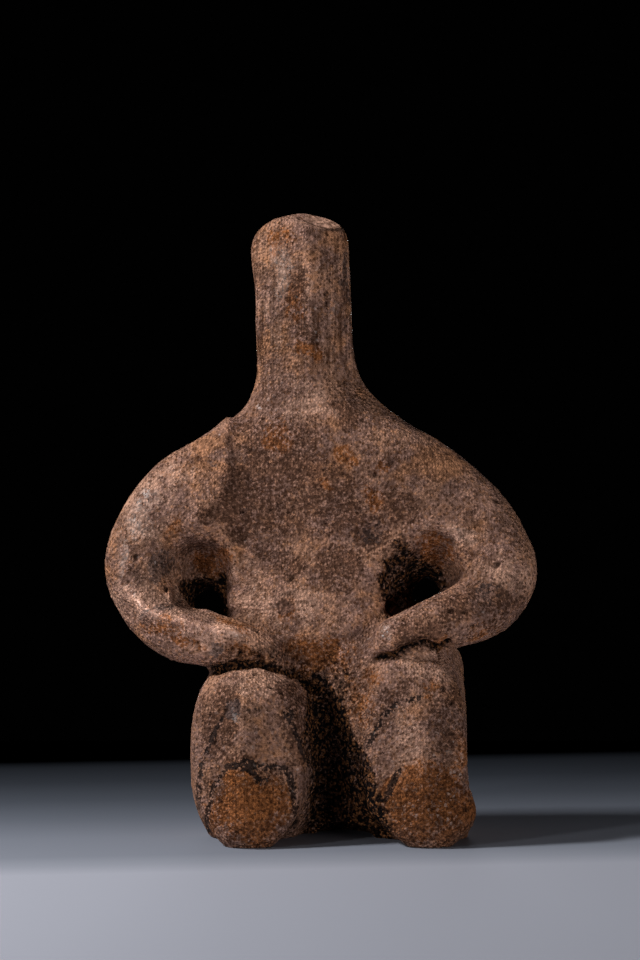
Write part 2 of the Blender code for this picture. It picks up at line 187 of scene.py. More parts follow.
LEG_RIGHT = (
    leg_row(-8.8, 12.6, LEG_HALF_WIDTH + 1.0, KNEE_HEIGHT - 3.0, 2.6),
    leg_row(-11.0, 7.0, LEG_HALF_WIDTH + 2.0, KNEE_HEIGHT - 0.6, 2.6),
    leg_row(-11.8, 1.6, LEG_HALF_WIDTH + 1.8, KNEE_HEIGHT + 1.0, 2.6),
    leg_row(-12.2, -3.4, LEG_HALF_WIDTH + 1.2, KNEE_HEIGHT + 0.6, 2.7),
    leg_row(-12.5, -7.6, LEG_HALF_WIDTH + 0.4, KNEE_HEIGHT - 1.8, 2.7),
    leg_row(-12.6, -11.8, LEG_HALF_WIDTH - 0.4, KNEE_HEIGHT - 6.6, 2.6),
    leg_row(-12.6, FOOT_FRONT, LEG_HALF_WIDTH - 1.3, KNEE_HEIGHT - 16.0, 2.4),
)
LEG_LEFT = (
    leg_row(15.0, 12.6, LEG_HALF_WIDTH + 1.2, KNEE_HEIGHT + 2.6, 2.8),
    leg_row(15.2, 7.0, LEG_HALF_WIDTH + 1.5, KNEE_HEIGHT + 4.6, 3.4),
    leg_row(15.7, 1.6, LEG_HALF_WIDTH + 0.9, KNEE_HEIGHT + 3.6, 3.4),
    leg_row(16.6, -3.4, LEG_HALF_WIDTH - 0.1, KNEE_HEIGHT + 1.8, 3.2),
    leg_row(17.1, -7.0, LEG_HALF_WIDTH - 0.7, KNEE_HEIGHT - 0.6, 3.0),
    leg_row(17.6, -10.6, LEG_HALF_WIDTH - 0.9, KNEE_HEIGHT - 7.4, 2.6),
    leg_row(18.9, FOOT_FRONT + 1.2, LEG_HALF_WIDTH - 0.8, KNEE_HEIGHT - 18.4, 2.4),
)
TOES_LEFT = (
    (17.4, 7.0, 3.0, 8.0, 9.0, 2.2),
    (18.2, 0.0, 3.0, 8.7, 10.4, 2.2),
    (19.0, -7.0, 3.0, 9.2, 10.0, 2.2),
    (19.3, -14.0, 2.6, 8.9, 7.6, 2.1),
)
# The clay that slopes from the bottom of the valley between the legs out to the left thigh
INNER_THIGH = (
    slab_row(8.6, 38.0, 10.0, -2.0, 14.0, 1.9),
    slab_row(9.0, 30.0, 9.4, -3.6, 14.0, 1.8),
    slab_row(9.8, 20.0, 8.6, -5.0, 14.0, 1.7),
    slab_row(10.8, 9.0, 7.8, -6.0, 14.0, 1.7),
    slab_row(11.2, -2.5, 7.4, -6.0, 13.0, 1.7),
)

# The sticks: rows as above, from the front opening to the back one. On the left a thumb has
# dragged the front opening out along the forearm.
STICK_RIGHT = (
    (-21.4, -4.0, 45.6, 6.0, 5.6, 2.2),
    (-21.2, 2.2, 45.0, 4.7, 4.5, 2.2),
    (-20.9, 5.2, 43.8, 3.8, 3.7, 2.1),
    (-20.6, 8.0, 42.7, 3.3, 3.4, 2.1),
    (-20.2, 11.4, 40.9, 2.9, 3.2, 2.0),
    (-20.0, 14.4, 39.5, 2.6, 2.8, 2.0),
    (-19.8, 20.0, 37.0, 2.6, 2.6, 2.0),
)
STICK_LEFT = (
    (20.4, -4.0, 49.4, 6.0, 5.4, 2.2),
    (19.8, 2.2, 48.2, 4.8, 4.5, 2.2),
    (19.2, 5.2, 46.6, 4.0, 3.9, 2.1),
    (18.8, 8.0, 45.0, 3.4, 3.4, 2.1),
    (19.0, 11.4, 43.2, 2.9, 2.9, 2.0),
    (19.5, 14.4, 41.6, 2.7, 2.6, 2.0),
    (19.7, 20.0, 39.1, 2.7, 2.6, 2.0),
)
THUMB_LEFT = (
    (12.2, 2.0, 39.6, 1.6, 4.0, 2.0),
    (14.4, 2.4, 42.2, 2.5, 5.0, 2.0),
    (17.2, 2.6, 45.4, 3.4, 5.4, 2.0),
    (20.4, 2.4, 49.0, 3.6, 5.0, 2.0),
    (23.0, 2.0, 51.4, 2.2, 3.0, 2.0),
)
STICK_BELOW = (
    (4.0, -24.0, -4.0, 7.5, 7.5, 2.0),
    (4.0, 0.0, -4.8, 7.5, 7.5, 2.0),
    (4.0, 7.0, -9.5, 7.5, 7.5, 2.0),
)
CUTTERS = (
    ("stick_right", STICK_RIGHT, UPRIGHT, (0.01, 0.01)),
    ("stick_left", STICK_LEFT, UPRIGHT, (0.01, 0.01)),
    ("thumb_left", THUMB_LEFT, FORE_AND_AFT, (2.0, 2.0)),
    ("stick_below", STICK_BELOW, UPRIGHT, (0.01, 0.01)),
)

COARSE_VOXEL = 0.9
FINE_VOXEL = 0.47
SEAM_PASSES = 70        # how long the thumb works the seams
SEAM_STRENGTH = 0.55
SKIN_PASSES = 6
SKIN_DRAWN_IN, SKIN_LET_OUT = 0.6, -0.55


def smooth_rows(stations, count):
    """The stations' columns read off a Catmull-Rom spline at count even parameters."""
    rows = np.array(stations, float)
    padded = np.vstack((2 * rows[0] - rows[1], rows, 2 * rows[-1] - rows[-2]))
    at = np.linspace(0.0, len(rows) - 1.0, count)
    i = np.minimum(at.astype(int), len(rows) - 2)
    t = (at - i)[:, None]
    a, b, c, d = (padded[i + k] for k in range(4))
    square, cube = 2 * a - 5 * b + 4 * c - d, 3 * b - a - 3 * c + d
    return 0.5 * (2 * b + (c - a) * t + square * t**2 + cube * t**3)


def rolled_member(stations, depth_axis, end_rounding, facing=None, rings=56, sides=48):
    """Points and quads of a closed roll of clay. Ring i lies round the path's point i; its point at
    angle a is half width times cos(a) to the power 2/squareness across, and half depth times
    sin(a) to that power deep. Both ends shrink as the square root of a circle into domes, and a
    fan round a pole closes each."""
    rows = smooth_rows(stations, rings)
    centre, half_width, half_depth, squareness = rows[:, :3], rows[:, 3], rows[:, 4], rows[:, 5]
    along = np.gradient(centre, axis=0) if facing is None else np.tile(facing, (rings, 1))
    along = along / np.linalg.norm(along, axis=1)[:, None]
    across = np.cross(along, depth_axis)
    across /= np.linalg.norm(across, axis=1)[:, None]
    deep = np.cross(across, along)
    run = np.r_[0.0, np.cumsum(np.linalg.norm(np.diff(centre, axis=0), axis=1))]
    shrink = np.ones(rings)
    for distance, rounding in ((run, end_rounding[0]), (run[-1] - run, end_rounding[1])):
        inside = np.clip(1.0 - distance / rounding, 0.0, 0.995)
        shrink = np.minimum(shrink, np.sqrt(1.0 - inside**2))
    angle = np.linspace(0.0, 2 * np.pi, sides, endpoint=False)
    power = 2.0 / squareness[:, None]
    u = np.sign(np.cos(angle)) * np.abs(np.cos(angle)) ** power * (half_width * shrink)[:, None]
    v = np.sign(np.sin(angle)) * np.abs(np.sin(angle)) ** power * (half_depth * shrink)[:, None]
    points = centre[:, None] + u[..., None] * across[:, None] + v[..., None] * deep[:, None]
    points = np.vstack((points.reshape(-1, 3), centre[0], centre[-1]))
    i, j = np.meshgrid(np.arange(rings - 1), np.arange(sides), indexing="ij")
    here, after = i * sides + j, i * sides + (j + 1) % sides
    walls = np.stack((here, here + sides, after + sides, after), axis=-1).reshape(-1, 4)
    j = np.arange(sides)
    first, last = len(points) - 2, len(points) - 1
    tail = (rings - 1) * sides
    caps = [(first, a, b) for a, b in zip(j, (j + 1) % sides)]
    caps += [(last, tail + b, tail + a) for a, b in zip(j, (j + 1) % sides)]
    return points, walls.tolist() + caps


def clay_mesh(name, points, faces):
    """A mesh in metres from points in millimetres."""
    mesh = bpy.data.meshes.new(name)
    mesh.from_pydata((points * MM).tolist(), [], [list(face) for face in faces])
    mesh.update()
    return mesh


def clay_lump(name, mesh):
    """A mesh's object, in the scene at the origin."""
    lump = bpy.data.objects.new(name, mesh)
    bpy.context.scene.collection.objects.link(lump)
    return lump


def points_and_quads(lump):
    """Points in millimetres and quads of a lump once its modifiers have run. It is removed."""
    graph = bpy.context.evaluated_depsgraph_get()
    mesh = bpy.data.meshes.new_from_object(lump.evaluated_get(graph))
    points = np.empty(len(mesh.vertices) * 3)
    mesh.vertices.foreach_get("co", points)
    quads = np.empty(len(mesh.polygons) * 4, np.int32)
    mesh.polygons.foreach_get("vertices", quads)
    bpy.data.objects.remove(lump)
    bpy.data.meshes.remove(mesh)
    return points.reshape(-1, 3) / MM, quads.reshape(-1, 4)


def press_together(lump, voxel):
    """The fused skin of overlapping lumps, as quads about a voxel wide."""
    press = lump.modifiers.new("press", "REMESH")
    press.mode = "VOXEL"
    press.voxel_size = voxel * MM
    press.use_smooth_shade = True


def neighbours_of(quads):
    """Both ends of each edge, in both directions."""
    ends = np.concatenate([quads[:, [k, (k + 1) % 4]] for k in range(4)])
    ends = np.unique(np.sort(ends, axis=1), axis=0)
    return np.concatenate((ends, ends[:, ::-1]))


def neighbour_mean(values, ends):
    """Each vertex's mean over the vertices that it shares an edge with."""
    count = np.bincount(ends[:, 0], minlength=len(values))
    columns = values.reshape(len(values), -1).T
    sums = [np.bincount(ends[:, 0], column[ends[:, 1]], len(values)) for column in columns]
    return (np.array(sums) / count).T.reshape(values.shape)


def normals_of(points, quads):
    """Unit vertex normals: the sum of the cross products of the diagonals of the quads round it."""
    a, b, c, d = (points[quads[:, k]] for k in range(4))
    flat = np.cross(c - a, d - b)
    total = np.array([
        sum(np.bincount(quads[:, k], flat[:, axis], len(points)) for k in range(4))
        for axis in range(3)
    ]).T
    return total / np.linalg.norm(total, axis=1)[:, None]


def ramp(low, high, values):
    """0 below low, 1 above high, and a smooth step between them."""
    t = np.clip((values - low) / (high - low), 0.0, 1.0)
    return t * t * (3 - 2 * t)


members = [
    rolled_member(TORSO, FORE_AND_AFT, (6.0, 3.0), DOWNWARD, rings=120),
    rolled_member(BACK_WEB, FORE_AND_AFT, (4.0, 3.0), DOWNWARD),
    rolled_member(PAD_RIGHT, FORE_AND_AFT, (4.0, 3.0), DOWNWARD),
    rolled_member(PAD_LEFT, FORE_AND_AFT, (4.0, 3.0), DOWNWARD),
    rolled_member(ELBOW_PAD_RIGHT, FORE_AND_AFT, (3.0, 2.0), DOWNWARD),
    rolled_member(ELBOW_PAD_LEFT, FORE_AND_AFT, (3.0, 2.0), DOWNWARD),
    rolled_member(ARM_RIGHT, FORE_AND_AFT, (4.0, 3.2)),
    rolled_member(ARM_LEFT, FORE_AND_AFT, (4.0, 3.2)),
    rolled_member(LEG_RIGHT, UPRIGHT, (4.0, 3.5), FORWARD),
    rolled_member(LEG_LEFT, UPRIGHT, (4.0, 3.5), FORWARD),
    rolled_member(TOES_LEFT, UPRIGHT, (4.0, 3.5), FORWARD),
    rolled_member(INNER_THIGH, FORE_AND_AFT, (6.0, 0.01), DOWNWARD),
]
starts = np.cumsum([0] + [len(points) for points, _ in members])
wet = clay_lump("wet_clay", clay_mesh(
    "wet_clay",
    np.vstack([points for points, _ in members]),
    [[first + k for k in face] for first, (_, faces) in zip(starts, members) for face in faces],
))
press_together(wet, COARSE_VOXEL)
points, quads = points_and_quads(wet)
ends = neighbours_of(quads)
x, y, z = points.T
# The thumb works the shoulders and the left thigh all over, and the rest lightly
left_thigh = ramp(2.0, 6.0, x) * (1.0 - ramp(28.0, 31.0, z))
reach = np.maximum(ramp(43.0, 52.0, z), 0.12 + 0.88 * left_thigh)
for _ in range(SEAM_PASSES):
    pull = neighbour_mean(points, ends) - points
    hollow = np.einsum("ij,ij->i", pull, normals_of(points, quads))
    worked = ramp(0.004, 0.05, hollow) * reach
    points = points + pull * (0.02 + SEAM_STRENGTH * worked)[:, None]


def shaved(points, anchor, facing, softness, where=1.0):
    """Points pressed back to a plane: each that stands out by s moves in by softness times
    log(1 + exp(s / softness)), so that the cut's edge is rounded over about that length."""
    facing = np.array(facing) / np.linalg.norm(facing)
    out = (points - np.array(anchor)) @ facing
    depth = softness * np.logaddexp(0.0, out / softness) * where
    return points - depth[:, None] * facing


x, y, z = points.T
pillar = ramp(70.0, 84.0, z)
softened = 0.9 + 1.3 * (1.0 - ramp(76.0, 94.0, z))
right_leg = ramp(0.0, -3.0, x) * ramp(33.0, 27.0, z) * ramp(1.0, -5.0, y)
left_leg = ramp(6.0, 9.0, x) * ramp(36.0, 29.0, z) * ramp(1.0, -5.0, y)
PILLAR_EDGE = (-1.5, PILLAR_FRONT + 0.8, 90.0)
RIGHT_SHIN = (-14.4, FOOT_FRONT + 0.8, 6.0)
LEFT_SHIN = (18.1, FOOT_FRONT + 1.1, 6.0)
# Two flats meet in an edge down the front of the pillar, and two down each shin
for anchor, facing, softness, where in (
    (PILLAR_EDGE, (-0.475, -0.88, 0.0), softened, pillar),
    (PILLAR_EDGE, (0.608, -0.794, 0.0), softened, pillar),
    (RIGHT_SHIN, (-0.50, -0.84, 0.16), 0.35, right_leg),
    (RIGHT_SHIN, (0.26, -0.94, 0.16), 0.35, right_leg),
    (LEFT_SHIN, (-0.46, -0.86, 0.16), 0.35, left_leg),
    (LEFT_SHIN, (0.36, -0.90, 0.16), 0.35, left_leg),
):
    points = shaved(points, anchor, facing, softness, where)
# The feet are rounded over at their outer corners, under the toes and along their sides
foot = ramp(1.0, -5.0, points[:, 1]) * ramp(16.0, 9.0, z)
for anchor, facing, softness, where in (
    ((27.8, -9.0, 4.0), (0.76, -0.62, -0.16), 0.9, foot),
    ((-20.4, -10.0, 4.0), (-0.76, -0.62, -0.16), 0.9, foot),
    ((0.0, FOOT_FRONT + 0.5, 3.2), (0.0, -0.80, -0.60), 0.9, foot),
    ((28.7, 0.0, 3.4), (0.68, -0.1, -0.73), 1.0, foot),
    ((-21.4, 0.0, 3.4), (-0.76, -0.1, -0.64), 1.0, foot),
    ((-4.2, 0.0, 3.0), (0.74, -0.1, -0.63), 1.0, foot * (x < 0.0)),
    ((10.4, 0.0, 2.8), (-0.63, -0.1, -0.74), 1.0, foot * (x > 4.0)),
):
    points = shaved(points, anchor, facing, softness, where)

wet = clay_lump("wet_clay", clay_mesh("wet_clay", points, quads))
for name, rows, depth_axis, rounding in CUTTERS:
    cutter = clay_lump(name, clay_mesh(name, *rolled_member(rows, depth_axis, rounding)))
    cut = wet.modifiers.new(name, "BOOLEAN")
    cut.operation, cut.object = "DIFFERENCE", cutter
press_together(wet, FINE_VOXEL)
points, quads = points_and_quads(wet)
for name, *_ in CUTTERS:
    bpy.data.objects.remove(bpy.data.objects[name])
ends = neighbours_of(quads)
for step in range(SKIN_PASSES):
    share = SKIN_LET_OUT if step % 2 else SKIN_DRAWN_IN
    points = points + share * (neighbour_mean(points, ends) - points)
normals = normals_of(points, quads)

# Set down level, in the middle of its place
cad_middle = (np.array(cad_low) + np.array(cad_high)) / (2 * MM)
place = cad_middle - (points.min(axis=0) + points.max(axis=0)) / 2
place[2] = 0.0

# ------------------------------------------------------------------------------------------------
# The idol's skin: sand and grit stand out of it, thumbs left dents, creases and pinched edges, and
# wear has rounded it. Marks on the front are placed as an eye in front of the figure sees them, in
# millimetres across and up at the figure's middle.
# ------------------------------------------------------------------------------------------------
CAVITY_PASSES = 10
EYE_RISE = np.radians(4.0)
EYE_DISTANCE = 700.0
EYE_TARGET = np.array((0.0, 10.5, 63.4))

behind, above = points[:, 1] - EYE_TARGET[1], points[:, 2] - EYE_TARGET[2]
back_from_target = behind * np.cos(EYE_RISE) - above * np.sin(EYE_RISE)
up_from_target = behind * np.sin(EYE_RISE) + above * np.cos(EYE_RISE)
nearness = EYE_DISTANCE / (EYE_DISTANCE + back_from_target)
seen = np.stack((points[:, 0] * nearness, EYE_TARGET[2] + up_from_target * nearness), axis=1)


def chance(cells, seed):
    """A fixed random number from 0 to 1 for each whole-numbered cell, by mixing its bits."""
    mixed = cells[..., 0] * 73856093 ^ cells[..., 1] * 19349663 ^ cells[..., 2] * 83492791
    mixed = mixed ^ seed * 40503
    for _ in range(2):
        mixed = ((mixed ^ (mixed >> 15)) * 2246822519) & 0xFFFFFFFF
    return ((mixed >> 8) & 0xFFFF) / 65535.0


def lumps(at, size, seed):
    """Smooth noise from -1 to 1: random values on a lattice of the given size, blended by the
    smooth step of the place inside each cell."""
    cell = np.floor(at / size)
    t = at / size - cell
    t = t * t * (3 - 2 * t)
    cell = cell.astype(np.int64)
    total = 0.0
    for corner in np.ndindex(2, 2, 2):
        weight = np.prod(np.where(corner, t, 1 - t), axis=1)
        total = total + weight * chance(cell + corner, seed)
    return 2 * total - 1


def grit(at, size, seed):
    """The distance to the nearest of the points strewn one to a cell, in cells, and that point's
    own random number."""
    cell = np.floor(at / size).astype(np.int64)
    nearest, number = np.full(len(at), 9.0), np.zeros(len(at))
    for step in np.ndindex(3, 3, 3):
        other = cell + step - 1
        strewn = other + 0.15 + 0.7 * np.stack([chance(other, seed + k) for k in range(3)], axis=1)
        gap = np.linalg.norm(at / size - strewn, axis=1)
        closer = gap < nearest
        nearest = np.where(closer, gap, nearest)
        number = np.where(closer, chance(other, seed + 3), number)
    return nearest, number


front = ramp(0.05, -0.25, normals[:, 1])
# Marks wander a little, as a hand and wear make them
near_wander = np.stack((lumps(points, 1.6, 51), lumps(points, 1.6, 53)), axis=1)
wander = near_wander + np.stack((lumps(points, 5.0, 52), lumps(points, 5.0, 54)), axis=1)
drawn = seen + 0.22 * wander
strayed = seen + 1.9 * wander - 0.8 * near_wander


def line(width, *path):
    """1 along the line through the path's points as seen from in front, 0 past its width."""
    path = np.array(path, float)
    a, b = path[:-1, None], path[1:, None]
    t = np.clip(((drawn - a) * (b - a)).sum(-1) / ((b - a) ** 2).sum(-1), 0.0, 1.0)
    gap = np.linalg.norm(drawn - a - t[..., None] * (b - a), axis=-1).min(axis=0)
    return np.exp(-((gap / width) ** 2)) * front


def ridge(width, *path):
    """As line, but with a sharp top and hollow flanks: the exponential of the distance from the
    path, which is the root of the logarithm of line's bell curve."""
    distance = np.sqrt(np.maximum(-np.log(np.maximum(line(1.0, *path), 1e-9)), 0.0))
    return np.exp(-distance / width) * front


def spot(across, up, half_across, half_up, turn=0.0, soft=0.5):
    """1 inside an ellipse as seen from in front, 0 outside it, with an edge that is soft times its
    half size wide. The turn is in degrees, anticlockwise."""
    c, s = np.cos(np.radians(turn)), np.sin(np.radians(turn))
    dx, dy = (strayed - (across, up)).T
    along, aside = (c * dx + s * dy) / half_across, (c * dy - s * dx) / half_up
    return ramp(1.0 + soft, 1.0 - soft, np.hypot(along, aside)) * front


def dish(across, up, half_across, half_up, turn=0.0):
    """A smooth dent or lump: the bell curve of the distance from its middle."""
    c, s = np.cos(np.radians(turn)), np.sin(np.radians(turn))
    dx, dy = (drawn - (across, up)).T
    along, aside = (c * dx + s * dy) / half_across, (c * dy - s * dx) / half_up
    return np.exp(-along ** 2 - aside ** 2) * front


def most(marks):
    """The strongest of several marks at each point."""
    return np.max(list(marks), axis=0)


x, y, z = points.T
across, up = drawn.T
# The crest pinched along the right forearm
CREST = (
    (-34.9, 43.4), (-31.5, 40.2), (-29.0, 38.8), (-26.0, 37.9), (-23.2, 37.0), (-17.4, 35.9),
    (-13.2, 35.9),
)
# The lip that the stick left between the pit and the belly
LIP = ((-17.0, 51.0), (-15.6, 48.0), (-15.2, 44.0), (-15.8, 40.8))
# Painted shade: the valley between the legs, the groin and the pits behind the forearms are
# darkened
VALLEY_HEIGHTS = (2.0, 7.0, 12.7, 18.0, 23.6, 27.4)
valley_middle = np.interp(up, VALLEY_HEIGHTS, (4.8, 4.4, 3.4, 1.5, 0.6, 0.0))
valley_half = np.interp(up, VALLEY_HEIGHTS, (7.2, 6.2, 5.3, 4.1, 3.0, 1.7))
valley = ramp(1.35, 0.85, np.abs(across - valley_middle) / valley_half) * ramp(32.0, 26.0, up)
valley *= normals[:, 1] < 0.3
groin = 0.5 * spot(2.5, 25.0, 6.5, 8.0, -20.0, 0.6)
pit_right = most((
    spot(-20.8, 42.2, 4.8, 4.0, 10.0, 0.4) * ramp(2.4, 4.4, y),
    0.3 * spot(-22.6, 46.6, 4.6, 3.0),
))
pit_left = most((
    spot(17.0, 43.6, 4.6, 4.6, -35.0, 0.4) * ramp(2.0, 4.0, y),
    0.75 * spot(13.4, 46.0, 2.2, 8.0, -12.0, 0.5),
    0.5 * spot(14.6, 49.6, 2.4, 3.2),
))
# The creases where the forearms meet the legs, darkened as painted shade
KNEE_CREASE = (
    (-20.4, 29.0), (-15.9, 29.9), (-10.7, 30.2), (-6.7, 29.4), (-3.6, 28.2), (-1.2, 25.6),
)
HAND_CREASE = (
    (10.3, 31.2), (13.2, 31.4), (16.7, 33.0), (19.0, 33.5), (21.9, 32.6), (23.4, 33.6),
)
creases = most((
    1.1 * line(0.75, *KNEE_CREASE),
    1.1 * line(0.6, *HAND_CREASE),
    0.5 * line(1.8, *[(a + 0.6, b + 1.8) for a, b in KNEE_CREASE[1:]]),
    0.45 * line(1.2, *[(a, b + 1.0) for a, b in HAND_CREASE[1:4]]),
))


def tunnel(stick):
    """1 on the wall of a stick's hole, behind the pit, where it is painted dark as shade: the
    distance from the middle of its rows is near their half width."""
    rows = np.array(stick)
    middle_x, middle_z, half = (np.interp(y, rows[:, 1], rows[:, k]) for k in (0, 2, 3))
    return ramp(1.5, 1.1, np.hypot(x - middle_x, z - middle_z) / half) * ramp(5.0, 8.0, y)


# Painted shade: the hollows, the creases and the walls of the holes, all darkened to near black
burnt = most((
    valley, groin, pit_right, pit_left, creases, tunnel(STICK_RIGHT), tunnel(STICK_LEFT),
))
# Dark brown film left on the chest and the pillar's edge, and painted shade on the undersides of
# the arms and down the sides of the legs
film = most(spot(*where) for where in (
    (-6.3, 67.9, 10.0, 6.0, -12.0), (-10.5, 59.5, 7.6, 6.4), (-19.0, 57.6, 4.2, 2.0, 15.0),
    (-13.6, 53.2, 2.4, 3.6, 35.0), (-7.6, 48.8, 4.4, 2.4, -25.0), (1.5, 60.0, 6.0, 7.0),
    (8.5, 53.6, 3.6, 3.6), (14.0, 58.5, 5.0, 3.0, -30.0), (3.0, 47.0, 4.0, 4.0),
    (-15.5, 31.4, 5.5, 1.5, -5.0), (29.6, 42.0, 2.6, 2.2), (32.0, 40.0, 5.0, 3.0, 20.0),
    (21.0, 37.4, 7.5, 3.0, 28.0), (13.6, 45.0, 2.6, 5.6, -15.0), (-21.0, 51.0, 4.6, 2.0),
    (-3.2, 96.5, 1.5, 4.6), (-1.6, 89.5, 1.5, 3.4), (-18.6, 18.0, 2.6, 8.0, -8.0),
    (-5.6, 20.0, 2.4, 7.0, 10.0), (-12.4, 11.0, 6.0, 1.8), (22.6, 20.0, 3.0, 7.0),
    (12.0, 21.0, 2.0, 6.0, -30.0), (5.0, 75.0, 3.0, 2.0, -30.0),
))
# Painted shade along the bottoms of the feet, where they turn under
film = np.maximum(film, 0.9 * ramp(3.4, 0.6, up) * front)
# Painted light and shade: above 0 the clay is painted darker, on the legs below the lit tops of the
# knees, on the pillar, the left elbow, the left toe, the right arm, the left shoulder and above the
# crest; below 0 it is painted lighter, as a highlight along the crest, over the right forearm and
# on the crown facet
shade = 0.55 * np.where(across < 2.0, ramp(25.0, 20.0, up), ramp(31.0, 26.0, up)) * front
shade += (
    0.6 * spot(-6.5, 92.0, 5.0, 15.0) + 0.5 * spot(31.0, 42.0, 6.0, 6.0)
    + 0.5 * spot(19.5, 4.0, 9.0, 5.0)
)
# Painted shadow on the flank above the right forearm's crest, and a painted highlight along it
shade += 0.6 * line(1.7, *[(a + 1.0, b + 2.9) for a, b in CREST]) - 2.2 * line(0.6, *CREST)
shade += 0.5 * spot(-33.0, 50.0, 4.0, 9.0) + 0.5 * spot(19.0, 65.5, 7.0, 7.0, -35.0)
# Painted light over the right forearm
shade -= 0.6 * spot(-25.0, 38.4, 10.0, 4.4, -24.0)
# Paler clay where the skin is rubbed, and painted highlights: over the right forearm, on the left
# hand, on glinting grains of the pillar and on the rim of the left pit
pale = most(spot(*where) for where in (
    (-24.0, 38.0, 11.0, 3.2, -22.0), (-34.0, 41.5, 4.0, 5.0, -35.0), (13.0, 37.6, 3.0, 2.0, 20.0),
    (33.0, 46.0, 4.0, 5.0), (-12.0, 27.0, 7.0, 2.4), (-31.0, 60.0, 6.0, 9.0, -35.0),
    (-5.0, 40.0, 7.0, 4.0), (-13.0, 43.0, 2.0, 5.0), (-5.0, 77.0, 7.0, 4.0),
    (23.5, 53.5, 5.0, 2.0, -10.0), (15.5, 15.0, 3.0, 8.0), (-8.0, 92.0, 2.0, 8.0),
    (18.0, 29.0, 6.0, 3.0), (-6.7, 105.0, 1.0, 1.6), (-6.5, 100.7, 1.6, 2.4),
    (-1.2, 97.2, 0.6, 1.6), (-1.0, 91.0, 1.2, 1.4),
))
# Painted highlights along the lip by the right pit, along the crest and over the right forearm
pale = most((
    pale, line(1.2, *LIP), 2.5 * line(0.9, *CREST), 1.6 * spot(-26.0, 38.2, 10.0, 3.4, -24.0),
))
# Redder clay, where the film has worn off or iron has stained it
rust = most(strength * spot(*where) for strength, *where in (
    (1.1, -8.6, 70.6, 2.6, 3.0), (1.0, -1.8, 86.4, 1.8, 2.2), (1.2, 0.9, 62.5, 1.2, 1.2),
    (0.9, 5.4, 67.9, 1.6, 1.8), (0.9, 8.6, 60.5, 2.2, 2.6), (0.9, -7.0, 40.0, 1.6, 2.6),
    (0.9, 12.5, 66.0, 2.0, 1.4), (0.55, -26.6, 54.6, 3.6, 1.6, 30.0),
    (0.8, -15.5, 37.0, 4.0, 1.1, -20.0), (1.0, -3.4, 95.5, 1.2, 3.6), (0.6, -6.0, 107.0, 4.0, 3.0),
    (0.7, 19.6, 26.6, 2.8, 1.8, -10.0), (0.6, 31.0, 36.6, 4.6, 2.6, 35.0),
    (0.8, 0.5, 31.0, 7.5, 4.6), (1.1, -12.6, 4.4, 8.2, 7.4), (1.1, 19.8, 5.0, 10.4, 8.0),
    (1.0, 20.2, 50.6, 3.8, 3.4), (1.1, -19.4, 48.6, 3.4, 2.8), (0.9, -13.5, 32.2, 5.0, 1.4),
    (0.7, 21.0, 34.4, 2.6, 1.0), (1.0, -28.0, 36.6, 6.5, 1.6, -27.0), (0.9, -6.5, 72.5, 2.0, 2.4),
    (0.6, 26.0, 14.0, 2.4, 9.0), (0.6, 8.0, 24.0, 4.0, 6.0),
))
film *= 1.0 - 0.7 * np.clip(rust, 0.0, 1.0)
# Painted strokes, thin and half worn away
paint = most((
    line(
        0.6, (-16.8, 11.3), (-13.6, 12.0), (-9.2, 11.6), (-6.0, 11.3), (-5.2, 8.7), (-4.5, 5.1),
        (-4.9, 0.4),
    ),
    line(0.45, (-16.8, 11.3), (-19.2, 8.0), (-20.3, 3.7), (-20.3, 0.0)),
    line(0.45, (-17.9, 20.0), (-19.5, 16.2), (-21.4, 12.4), (-21.9, 7.7), (-22.1, 3.7)),
    line(0.55, (-6.5, 21.2), (-5.2, 18.7), (-3.6, 15.8), (-2.2, 11.6)),
    line(0.65, (8.3, 15.1), (9.8, 17.6), (12.1, 21.2), (15.0, 23.4), (17.9, 24.1)),
    line(0.55, (12.1, 5.8), (13.6, 9.5), (14.3, 11.3)),
    line(0.30, (26.4, 18.2), (26.8, 16.2)),
    spot(-6.6, 21.4, 1.0, 1.0),
    0.7 * spot(-12.6, 21.5, 1.8, 0.6, 5.0),
    0.6 * spot(-12.4, 10.6, 3.0, 1.2),
)) * front
# Blue-grey smudges
smudge = most(spot(*where) for where in (
    (-19.7, 65.4, 1.0, 1.0), (-29.0, 48.0, 2.6, 3.0, 60.0), (-27.0, 39.6, 1.6, 1.0),
    (-7.2, 40.8, 1.4, 1.4), (8.7, 53.4, 2.4, 2.4), (30.4, 42.2, 1.6, 1.8), (-20.0, 33.0, 1.5, 1.5),
    (4.8, 97.0, 1.0, 7.0), (-16.6, 21.5, 1.4, 1.6), (-30.0, 39.0, 2.0, 1.6),
))
# Worn burnish: the skin that the pebble closed still shines there
gloss = most(spot(*where) for where in (
    (-6.3, 101.4, 2.2, 4.2), (1.8, 94.6, 0.6, 1.6), (-33.0, 57.0, 2.6, 4.0, -30.0),
    (-36.0, 49.0, 1.4, 4.0), (23.2, 54.2, 4.6, 1.4, -10.0), (11.9, 36.2, 1.8, 1.2),
    (-15.6, 20.0, 0.9, 1.2), (18.5, 43.0, 2.4, 0.7, 40.0),
))
gloss = np.maximum(1.3 * gloss, 1.4 * line(1.0, *CREST))
# The scraped pillar, all but its front edge
streaked = ramp(78.0, 86.0, z) * (1.0 - 0.85 * np.exp(-(((seen[:, 0] + 5.0) / 3.6) ** 2)) * front)

# Raised shoulder, its edge down the chest
edge_x = np.interp(seen[:, 1], (50.0, 56.2, 61.6, 73.4), (-24.5, -21.7, -17.2, -15.9))
beyond = edge_x - seen[:, 0] + 0.9 * wander[:, 0] * ramp(74.0, 70.0, up)
shoulder = ramp(-0.4, 0.4, beyond) * ramp(50.0, 57.0, seen[:, 1]) * front
relief = 0.75 * shoulder * np.exp(-np.maximum(beyond, 0.0) / 7.0)
# Thumb dents
relief -= 1.1 * dish(-15.0, 53.8, 1.5, 2.3, 35.0)
relief -= 0.9 * dish(8.7, 53.4, 3.0, 2.6)
